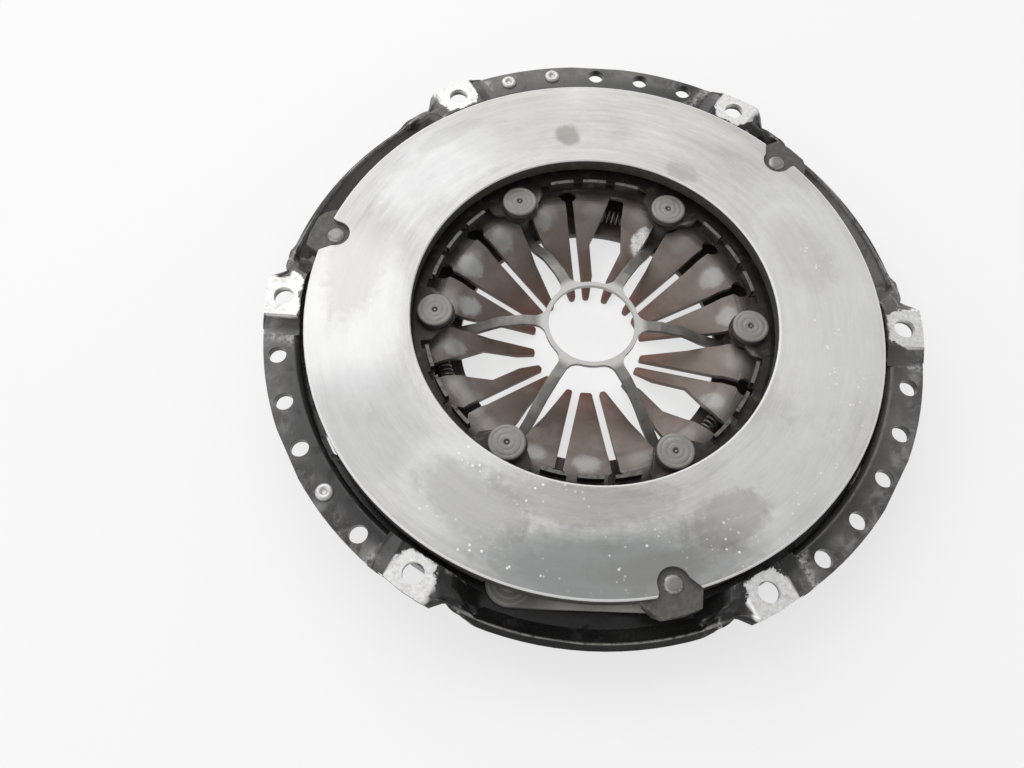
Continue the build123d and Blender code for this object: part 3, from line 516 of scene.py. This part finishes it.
finishes = {
    "cover": coverPaint(),
    "pressure_plate": castIron(),
    "diaphragm_spring": diaphragmSteel(),
    "sensor_spring": plainSteel(
        "sensorSteel",
        (0.018, 0.0165, 0.015),
        (0.055, 0.05, 0.045),
        0.46,
        0.35,
        edge=(0.3, 0.28, 0.26),
        extra=sensorShade,
    ),
    "stop_spider": plainSteel("stopSteel", (0.15, 0.145, 0.135), (0.29, 0.275, 0.255), 0.45, 0.5, extra=ringShade),
    "stepped_bolts": plainSteel("boltSteel", (0.25, 0.24, 0.225), (0.36, 0.35, 0.33), 0.55, 0.4, extra=boltShade),
    "adjusting_ring": plainSteel("rampSteel", (0.10, 0.095, 0.09), (0.24, 0.225, 0.21), 0.5, 0.5),
    "plate_rivets": plainSteel("lugRivetSteel", (0.20, 0.195, 0.185), (0.34, 0.33, 0.32), 0.45, 0.5, extra=rivetShade),
    "cover_strap_rivets": plainSteel("strapRivetSteel", (0.11, 0.1, 0.09), (0.24, 0.22, 0.2), 0.5, 0.5),
    "balance_rivets": plainSteel("balanceRivetSteel", (0.5, 0.5, 0.49), (0.75, 0.74, 0.72), 0.4, 0.6),
    "straps": plainSteel("strapSteel", (0.30, 0.28, 0.25), (0.58, 0.55, 0.50), 0.42, 0.4, blotch=9.0, extra=strapShade),
    "coils": plainSteel("coilSteel", (0.13, 0.12, 0.105), (0.30, 0.28, 0.25), 0.38, 0.6),
}
print("finishes made")


def smoothByAngle(made, degrees=34.0):
    # level faces stay flat-shaded, so that wide ones take no slant from their rims
    for face in made.faces:
        face.smooth = abs(face.normal.z) < 0.99995
    for edge in made.edges:
        edge.smooth = edge.is_manifold and edge.calc_face_angle(0.0) < math.radians(degrees)


def bareMesh(thing, name):
    # a plain mesh from an object with live modifiers, which are then taken off
    mesh = bpy.data.meshes.new_from_object(thing.evaluated_get(bpy.context.evaluated_depsgraph_get()))
    thing.modifiers.clear()
    thing.data = mesh
    mesh.name = name
    return mesh


def newThing(name, mesh):
    thing = bpy.data.objects.new(name, mesh)
    scene.collection.objects.link(thing)
    return thing


def plugged(made, places, reach):
    # closes small round holes through level sheet
    gone = [f for f in made.faces if any(all((v.co.xy - p).length < reach for v in f.verts) for p in places)]
    bmesh.ops.delete(made, geom=gone, context="FACES")
    bmesh.ops.holes_fill(made, edges=[edge for edge in made.edges if edge.is_boundary], sides=0)
    bmesh.ops.recalc_face_normals(made, faces=made.faces)


def workedCopy(node, width, segments=2, limit=38, plugs=None):
    # the node's form with its edges broken, and "wear" on the new corners
    mesh = nodes[node].data.copy()
    made = bmesh.new()
    made.from_mesh(mesh)
    bmesh.ops.remove_doubles(made, verts=made.verts, dist=0.002 * mm)
    if plugs:
        plugged(made, *plugs)
    bmesh.ops.dissolve_limit(made, angle_limit=math.radians(0.6), verts=made.verts, edges=made.edges)
    made.to_mesh(mesh)
    made.free()
    mesh.materials.clear()
    thing = newThing(node + "_worked", mesh)
    bevel = thing.modifiers.new("edge", "BEVEL")
    bevel.width = width * mm
    bevel.segments = segments
    bevel.limit_method = "ANGLE"
    bevel.angle_limit = math.radians(limit)
    bevel.miter_outer = "MITER_ARC"
    mesh = bareMesh(thing, node)
    made = bmesh.new()
    made.from_mesh(mesh)
    wear = made.verts.layers.float.new("wear")
    for edge in made.edges:
        if edge.is_manifold and edge.is_convex and math.radians(26) < edge.calc_face_angle(0.0) < math.radians(60):
            for vert in edge.verts:
                vert[wear] = 1.0
    smoothByAngle(made)
    made.to_mesh(mesh)
    made.free()
    return thing


def stand(thing, node, finish):
    thing.data.materials.clear()
    thing.data.materials.append(finish)
    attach(thing, bodyOf[node])
    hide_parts(node)
    return thing


class Recipe(Plan):
    # a Geometry Nodes tree with named inputs
    kinds = {int: "NodeSocketInt", float: "NodeSocketFloat", tuple: "NodeSocketVector"}

    def __init__(self, name, **inputs):
        self.tree = bpy.data.node_groups.new(name, "GeometryNodeTree")
        face = self.tree.interface
        face.new_socket("geometry", in_out="INPUT", socket_type="NodeSocketGeometry")
        self.keys = {}
        for key, value in inputs.items():
            kind = self.kinds.get(type(value)) or {"outline": "NodeSocketObject", "finish": "NodeSocketMaterial"}[key]
            made = face.new_socket(key, in_out="INPUT", socket_type=kind)
            self.keys[key] = made.identifier
            if type(value) in self.kinds:
                made.default_value = value
        face.new_socket("geometry", in_out="OUTPUT", socket_type="NodeSocketGeometry")
        self.given = self.tree.nodes.new("NodeGroupInput")

    def get(self, key):
        return Wire(self, self.given.outputs[key])

    def finishWith(self, geometry):
        real = self.node("GeometryNodeRealizeInstances", {}, {0: geometry})
        dressed = self.node("GeometryNodeSetMaterial", {}, {0: real, "Material": self.get("finish")})
        self.plug(self.tree.nodes.new("NodeGroupOutput").inputs[0], dressed)

    def make(self, name, mesh, **values):
        thing = newThing(name, mesh)
        maker = thing.modifiers.new(name, "NODES")
        maker.node_group = self.tree
        for key, value in values.items():
            maker[self.keys[key]] = value
        return thing, bareMesh(thing, name)


# turned parts: an outline of radius and height, spun about each place it stands at
turnedFasteners = Recipe("turnedFasteners", outline=None, points=8, sides=48, seed=1, finish=None)
r = turnedFasteners
outlinePoints = r.node("GeometryNodeObjectInfo", {}, {"Object": r.get("outline")}, "Geometry")
grid = r.node("GeometryNodeMeshGrid", {}, {"Vertices X": r.get("sides") + 1.0, "Vertices Y": r.get("points")})
index = r.node("GeometryNodeInputIndex")
row = index % r.get("points")
column = (index / r.get("points")).calc("FLOOR")
where = r.node("GeometryNodeInputPosition")
sample = r.node(
    "GeometryNodeSampleIndex", {"data_type": "FLOAT_VECTOR"}, {"Geometry": outlinePoints, "Value": where, "Index": row}
)
sampleX, _, sampleZ = r.parts(sample)
spin = column / r.get("sides") * math.tau
spun = r.node(
    "GeometryNodeSetPosition",
    {},
    {"Geometry": grid, "Position": r.vector(sampleX * spin.calc("COSINE"), sampleX * spin.calc("SINE"), sampleZ)},
)
closed = r.node("GeometryNodeMergeByDistance", {}, {"Geometry": spun, "Distance": 0.002 * mm})
turn = r.node(
    "FunctionNodeRandomValue", {"data_type": "FLOAT"}, {2: 0.0, 3: math.tau, "ID": index, "Seed": r.get("seed")}, 1
)
placed = r.node(
    "GeometryNodeInstanceOnPoints",
    {},
    {"Points": r.get("geometry"), "Instance": closed, "Rotation": r.vector(0.0, 0.0, turn)},
)
r.finishWith(placed)

fasteners = {
    "stepped_bolts": {
        "ring": circles["bolts"],
        "turns": [60 * n for n in range(6)],
        "outline": [
            (0, -5.05), (0.35, -5.0), (0.7, -5.5), (1.0, -5.25), (1.35, -4.75), (1.8, -4.62), (3.2, -4.6), (3.5, -4.7),
            (3.8, -4.6), (5.6, -4.64), (5.9, -4.76), (6.2, -4.66), (7.0, -4.68), (7.45, -4.82), (7.7, -5.1),
            (7.8, -5.5), (7.8, -8.2), (7.5, -8.5), (5.0, -8.5), (5.0, -24.4), (4.0, -24.4), (4.0, -29.9),
            (6.4, -29.9), (6.5, -30.1), (6.5, -31.9), (6.2, -32.6), (5.5, -33), (0, -33),
        ],
    },
    "plate_rivets": {
        "ring": circles["straps"],
        "turns": [pocket + lugTurn for pocket in pocketTurns],
        "outline": [
            (0, 2.28), (1.6, 2.3), (2.4, 2.24), (3.1, 1.98), (3.55, 1.6), (3.75, 1.15), (3.75, 1.08), (3.3, 1.08),
            (3.3, -8.3), (5.0, -8.3), (4.8, -9.2), (4.0, -10.0), (0, -10.1),
        ],
    },
    "cover_strap_rivets": {
        "ring": circles["straps"],
        "turns": [pocket - lugTurn for pocket in pocketTurns],
        "outline": [
            (0, -8.1), (2.2, -8.12), (3.4, -8.3), (4.2, -8.75), (4.6, -9.4), (4.6, -9.9), (3.3, -9.9), (3.3, -15.8),
            (5.0, -15.8), (4.8, -16.7), (4.0, -17.5), (0, -17.6),
        ],
    },
    "balance_rivets": {
        "ring": circles["balance"],
        "turns": [99.26, 108.52, 219.26],
        "outline": [
            (0, -2.2), (0.8, -2.2), (1.3, -1.5), (1.9, -1.22), (2.6, -1.25), (3.2, -1.5), (3.55, -2.0), (3.6, -2.6),
            (3.6, -6.1), (5.5, -6.1), (5.5, -8.1), (5.2, -8.7), (4.5, -9.1), (0, -9.1),
        ],
    },
}
for seed, (node, spec) in enumerate(fasteners.items()):
    outline = bpy.data.meshes.new(node + "_outline")
    outline.from_pydata([(x * mm, 0, z * mm) for x, z in spec["outline"]], [], [])
    shape = newThing(node + "_outline", outline)
    places = bpy.data.meshes.new(node + "_places")
    ring = spec["ring"] * mm
    places.from_pydata([(ring * math.cos(a * deg), ring * math.sin(a * deg), 0) for a in spec["turns"]], [], [])
    thing, mesh = turnedFasteners.make(
        node + "_turned", places, outline=shape, points=len(spec["outline"]), seed=seed, finish=finishes[node]
    )
    bpy.data.objects.remove(shape)
    made = bmesh.new()
    made.from_mesh(mesh)
    bmesh.ops.remove_doubles(made, verts=made.verts, dist=0.002 * mm)
    bmesh.ops.recalc_face_normals(made, faces=made.faces)
    smoothByAngle(made)
    made.to_mesh(mesh)
    made.free()
    stand(thing, node, finishes[node])
    print(node, "turned,", len(mesh.polygons), "faces")

# coils: a spiral with its end turns closed, stood at its place
woundSpring = Recipe(
    "woundSpring",
    turns=9.5,
    across=5.5 * mm,
    wire=1.1 * mm,
    long=18.8 * mm,
    place=(0.0, 0.0, 0.0),
    lean=(0.0, 0.0, 0.0),
    finish=None,
)
r = woundSpring
spiral = r.node(
    "GeometryNodeCurveSpiral",
    {},
    {
        "Resolution": 28,
        "Rotations": r.get("turns"),
        "Start Radius": r.get("across") * 0.5,
        "End Radius": r.get("across") * 0.5,
        "Height": 1.0,
    },
)
where = r.node("GeometryNodeInputPosition")
x, y, along = r.parts(where)
endShare = 1.0 / r.get("turns")
wire = r.get("wire")
climb = r.node("ShaderNodeMapRange", {}, {0: along, 1: endShare, 2: 1.0 - endShare, 3: 0.0, 4: 1.0})
closedEnds = ((along / endShare).lower(1.0) + ((along - 1.0) / endShare + 1.0).higher(0.0)) * wire
height = closedEnds + climb * (r.get("long") - wire * 2.0) - r.get("long") * 0.5
shaped = r.node("GeometryNodeSetPosition", {}, {"Geometry": spiral, "Position": r.vector(x, y, height)})
section = r.node("GeometryNodeCurvePrimitiveCircle", {}, {"Resolution": 10, "Radius": wire * 0.5})
rod = r.node("GeometryNodeCurveToMesh", {}, {"Curve": shaped, "Profile Curve": section, "Fill Caps": True})
stood = r.node(
    "GeometryNodeInstanceOnPoints", {}, {"Points": r.get("geometry"), "Instance": rod, "Rotation": r.get("lean")}
)
r.finishWith(stood)

coils = {"ring": 66.5, "halfAngle": 8.6, "height": -22.6, "turns": [-37.5, 82.5, 202.5], "across": 5.5, "wire": 1.1}
coilHalf = coils["ring"] * math.sin(coils["halfAngle"] * deg) * mm
for n, turnAngle in enumerate(coils["turns"]):
    node = f"adjuster_spring_{n + 1}"
    reach = coils["ring"] * math.cos(coils["halfAngle"] * deg) * mm
    middle = Vector((reach * math.cos(turnAngle * deg), reach * math.sin(turnAngle * deg), coils["height"] * mm))
    along = Vector((-math.sin(turnAngle * deg), math.cos(turnAngle * deg), 0))
    point = bpy.data.meshes.new(node + "_place")
    point.from_pydata([middle], [], [])
    thing, mesh = woundSpring.make(
        node + "_wound",
        point,
        across=coils["across"] * mm,
        wire=coils["wire"] * mm,
        long=2 * coilHalf - coils["wire"] * mm,
        lean=tuple(along.to_track_quat("Z", "Y").to_euler()),
        finish=finishes["coils"],
    )
    for polygon in mesh.polygons:
        polygon.use_smooth = True
    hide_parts(node)
    middle - along * coilHalf
    middle + along * coilHalf
    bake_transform(thing)
print("adjuster springs wound")

# levels of the cover's sheet
pocketFloor = -12.3 * mm
flangeLevel = -2.6 * mm
# the cover's folds: pocket ends and the steps between ears and flanges drawn out into easy slopes
pressedFolds = Recipe(
    "pressedFolds",
    foot=5.2,
    brow=1.2,
    step=1.5,
    sheet=3.5 * mm,
    flare=3.4 * mm,
    slant=2.3 * mm,
    keep=4.6 * mm,
    finish=None,
)
r = pressedFolds
x, y, z = r.parts(r.node("GeometryNodeInputPosition"))
outX, outY, outZ = r.parts(r.node("GeometryNodeInputNormal"))
radius = (x * x + y * y).calc("SQRT")
angle = y.calc("ARCTAN2", x)
side = (angle / deg + 30.0) % 120.0 - 60.0
away = abs(side)
sense = side.calc("SIGN")
across = (outY * x - outX * y) / radius * sense
inner = (outZ - across).step(-0.3, 0.3)
level = z + (1.0 - inner) * r.get("sheet")


def eased(depth):
    # share of a fold passed at this depth: level at both ends, steep between them
    share = r.node("ShaderNodeMapRange", {}, {0: level, 1: 0.0, 2: depth, 3: -1.0, 4: 1.0})
    return share.calc("ARCSINE") / math.pi + 0.5


def faded(start, end):
    return r.node("ShaderNodeMapRange", {}, {0: away, 1: start, 2: end, 3: 1.0, 4: 0.0})


near = away.step(16.5, 24.6) * faded(24.6 + (1.0 - inner) * 1.5, 28.0 + z.step(-3.6 * mm, -6.5 * mm, 10.0))
fall = eased(pocketFloor)
sink = (r.get("brow") - fall * (r.get("foot") + r.get("brow"))) * near * (1.0 - z.step(-15.9 * mm, -24.0 * mm))
drop = (eased(flangeLevel) * 2.0 - 1.0) * r.get("step") * away.step(32.2, 35.4) * faded(35.4, 39.2)
turned = angle + (sink + drop) * sense * deg
# pocket walls lean outwards and the sheared edge of the sheet looks up and out; near the ears the rim keeps low
outer = radius.step(134.4 * mm, 137.4 * mm)
wall = radius.step(127.5 * mm, 133.6 * mm)
lean = (z.step(-13.6 * mm, -8.4 * mm) - 1.0) * r.get("flare") + z.step(-12.0 * mm, -8.0 * mm) * 1.2 * mm
tilt = outer * z.step(-14.0 * mm, -8.6 * mm)
inPocket = faded(18.0, 24.0) * z.step(-15.9 * mm, -15.7 * mm).higher(wall)
upperWall = z.step(-12.2 * mm, -6.0 * mm) * radius.step(130 * mm, 134 * mm)
tuck = upperWall * z.step(0.0, -1.5 * mm) * away.step(18.0, 22.0) * faded(22.5, 26.5)
out = (lean * wall - tilt * 1.1 * mm) * inPocket - tuck * 1.2 * mm
lowRim = upperWall * away.step(17.0, 21.5) * faded(22.5, 25.5)
down = (tilt * r.get("slant") * inPocket) + lowRim * r.get("keep")
newRadius = radius + out
moved = r.node(
    "GeometryNodeSetPosition",
    {},
    {
        "Geometry": r.get("geometry"),
        "Position": r.vector(newRadius * turned.calc("COSINE"), newRadius * turned.calc("SINE"), z - down),
    },
)
r.finishWith(moved)

folds = {
    "drainReach": 2.7 * mm,
    "cuts": [16.5 + 1.15 * n for n in range(11)] + [31.5 + 0.95 * n for n in range(9)],
    "levels": [-0.12, -0.4, -0.8, -1.3, -1.8, -2.2, -2.48, -2.6, -3.5, -3.62, -3.9, -4.3, -4.8, -5.3, -5.7, -5.98, -6.1]
    + [-7.4, -8.8, -10.2, -11.3, -12.0, -12.3, -13.6, -14.7, -15.5, -15.8, -18.0, -21.0],
}
drainRing = circles["drains"] * mm
drains = [Vector((drainRing * math.cos(a * deg), drainRing * math.sin(a * deg))) for a in pocketTurns]
cover = workedCopy("cover", 0.5, plugs=(drains, folds["drainReach"]))
made = bmesh.new()
made.from_mesh(cover.data)


def sliced(place, normal):
    everything = made.verts[:] + made.edges[:] + made.faces[:]
    bmesh.ops.bisect_plane(made, geom=everything, dist=1e-7, plane_co=place, plane_no=normal)


for height in folds["levels"]:
    sliced((0, 0, height * mm), (0, 0, 1))
for turnAngle in pocketTurns:
    for side in (-1, 1):
        for away in folds["cuts"]:
            cut = (turnAngle + side * away) * deg
            sliced((0, 0, 0), (-math.sin(cut), math.cos(cut), 0))
made.to_mesh(cover.data)
made.free()
cover, mesh = pressedFolds.make("cover_pressed", cover.data, finish=finishes["cover"])
bpy.data.objects.remove(bpy.data.objects["cover_worked"])
made = bmesh.new()
made.from_mesh(mesh)
smoothByAngle(made, 40.0)
made.to_mesh(mesh)
made.free()
stand(cover, "cover", finishes["cover"])
print("cover pressed,", len(mesh.polygons), "faces")

# how far edges are broken, in millimetres
edges = {
    "pressure_plate": 0.25,
    "diaphragm_spring": 0.35,
    "sensor_spring": 0.25,
    "stop_spider": 0.35,
    "adjusting_ring": 0.3,
}
for node, width in edges.items():
    piece = stand(workedCopy(node, width), node, finishes[node])
    if node == "diaphragm_spring":
        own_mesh(piece)
    print(node, "worked,", len(piece.data.polygons), "faces")

straps = {"edge": 0.12, "ring": circles["straps"] * mm, "level": -0.009, "clamped": 0.2}
for n, turnAngle in enumerate(pocketTurns):
    ends = []
    for side in (-1, 1):
        a = (turnAngle + side * lugTurn) * deg
        ends.append((straps["ring"] * math.cos(a), straps["ring"] * math.sin(a), straps["level"]))
    inward = [tuple(e + (o - e) * straps["clamped"] for e, o in zip(ends[k], ends[1 - k])) for k in (0, 1)]
    for level in ("upper", "middle", "lower"):
        node = f"leaf_strap_{n + 1}_{level}"
        leaf = workedCopy(node, straps["edge"], 1)
        leaf.data.materials.clear()
        leaf.data.materials.append(finishes["straps"])
        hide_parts(node)
        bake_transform(leaf)
print("straps done")

studio = {
    "floor": (0.90, 0.905, 0.90),
    "floorGlow": 0.68,
    "world": 0.46,
    "lamps": {
        "window": {"place": (-0.5, 1.0, 1.1), "size": 1.7, "power": 15.5},
        "fill": {"place": (-1.1, -0.5, 0.9), "size": 0.9, "power": 4.0},
    },
}

floorMesh = bpy.data.meshes.new("floor")
floorMesh.from_pydata([(-4, -4, 0), (4, -4, 0), (4, 4, 0), (-4, 4, 0)], [], [(0, 1, 2, 3)])
floorMesh.transform(Matrix.Translation((0, 0, cadBox[0][2])))
floor = newThing("floor", floorMesh)


class FloorPaint(Finish):
    def glow(self, share):
        # a white that the camera and mirrors see, under the plain one that takes the shadows
        mirrored = self.node("ShaderNodeLightPath", output="Is Glossy Ray")
        seen = self.node("ShaderNodeLightPath", output="Is Camera Ray").higher(mirrored)
        white = self.node("ShaderNodeEmission", {}, {"Color": (1.0, 1.0, 1.0), "Strength": 1.0})
        both = self.node("ShaderNodeMixShader", {}, {0: seen * share, 1: Wire(self, self.shader.outputs[0]), 2: white})
        self.plug(self.tree.nodes["Material Output"].inputs[0], both)
        return self.material


paleFloor = FloorPaint("paleFloor")
paleFloor.done(colour=studio["floor"], rough=0.6)
floorMesh.materials.append(paleFloor.glow(studio["floorGlow"]))

world = bpy.data.worlds.new("studio")
scene.world = world
world.use_nodes = True
world.node_tree.nodes["Background"].inputs["Color"].default_value = (1, 1, 1, 1)
world.node_tree.nodes["Background"].inputs["Strength"].default_value = studio["world"]

for name, lamp in studio["lamps"].items():
    light = bpy.data.lights.new(name, "AREA")
    light.size = lamp["size"]
    light.energy = lamp["power"]
    rig = bpy.data.objects.new(name, light)
    rig.location = lamp["place"]
    rig.rotation_euler = (-Vector(lamp["place"])).to_track_quat("-Z", "Y").to_euler()
    scene.collection.objects.link(rig)

camera = {"place": (-0.03278, -0.18298, 0.32266), "turn": (24.5242, -1.1821, 2.7585), "lens": 30.577}
lens = bpy.data.cameras.new("view")
lens.lens = camera["lens"]
lens.sensor_width = 36
viewer = bpy.data.objects.new("view", lens)
viewer.location = camera["place"]
viewer.rotation_euler = [math.radians(k) for k in camera["turn"]]
scene.collection.objects.link(viewer)
scene.camera = viewer
scene.view_settings.view_transform = "Standard"

print("scene ready")
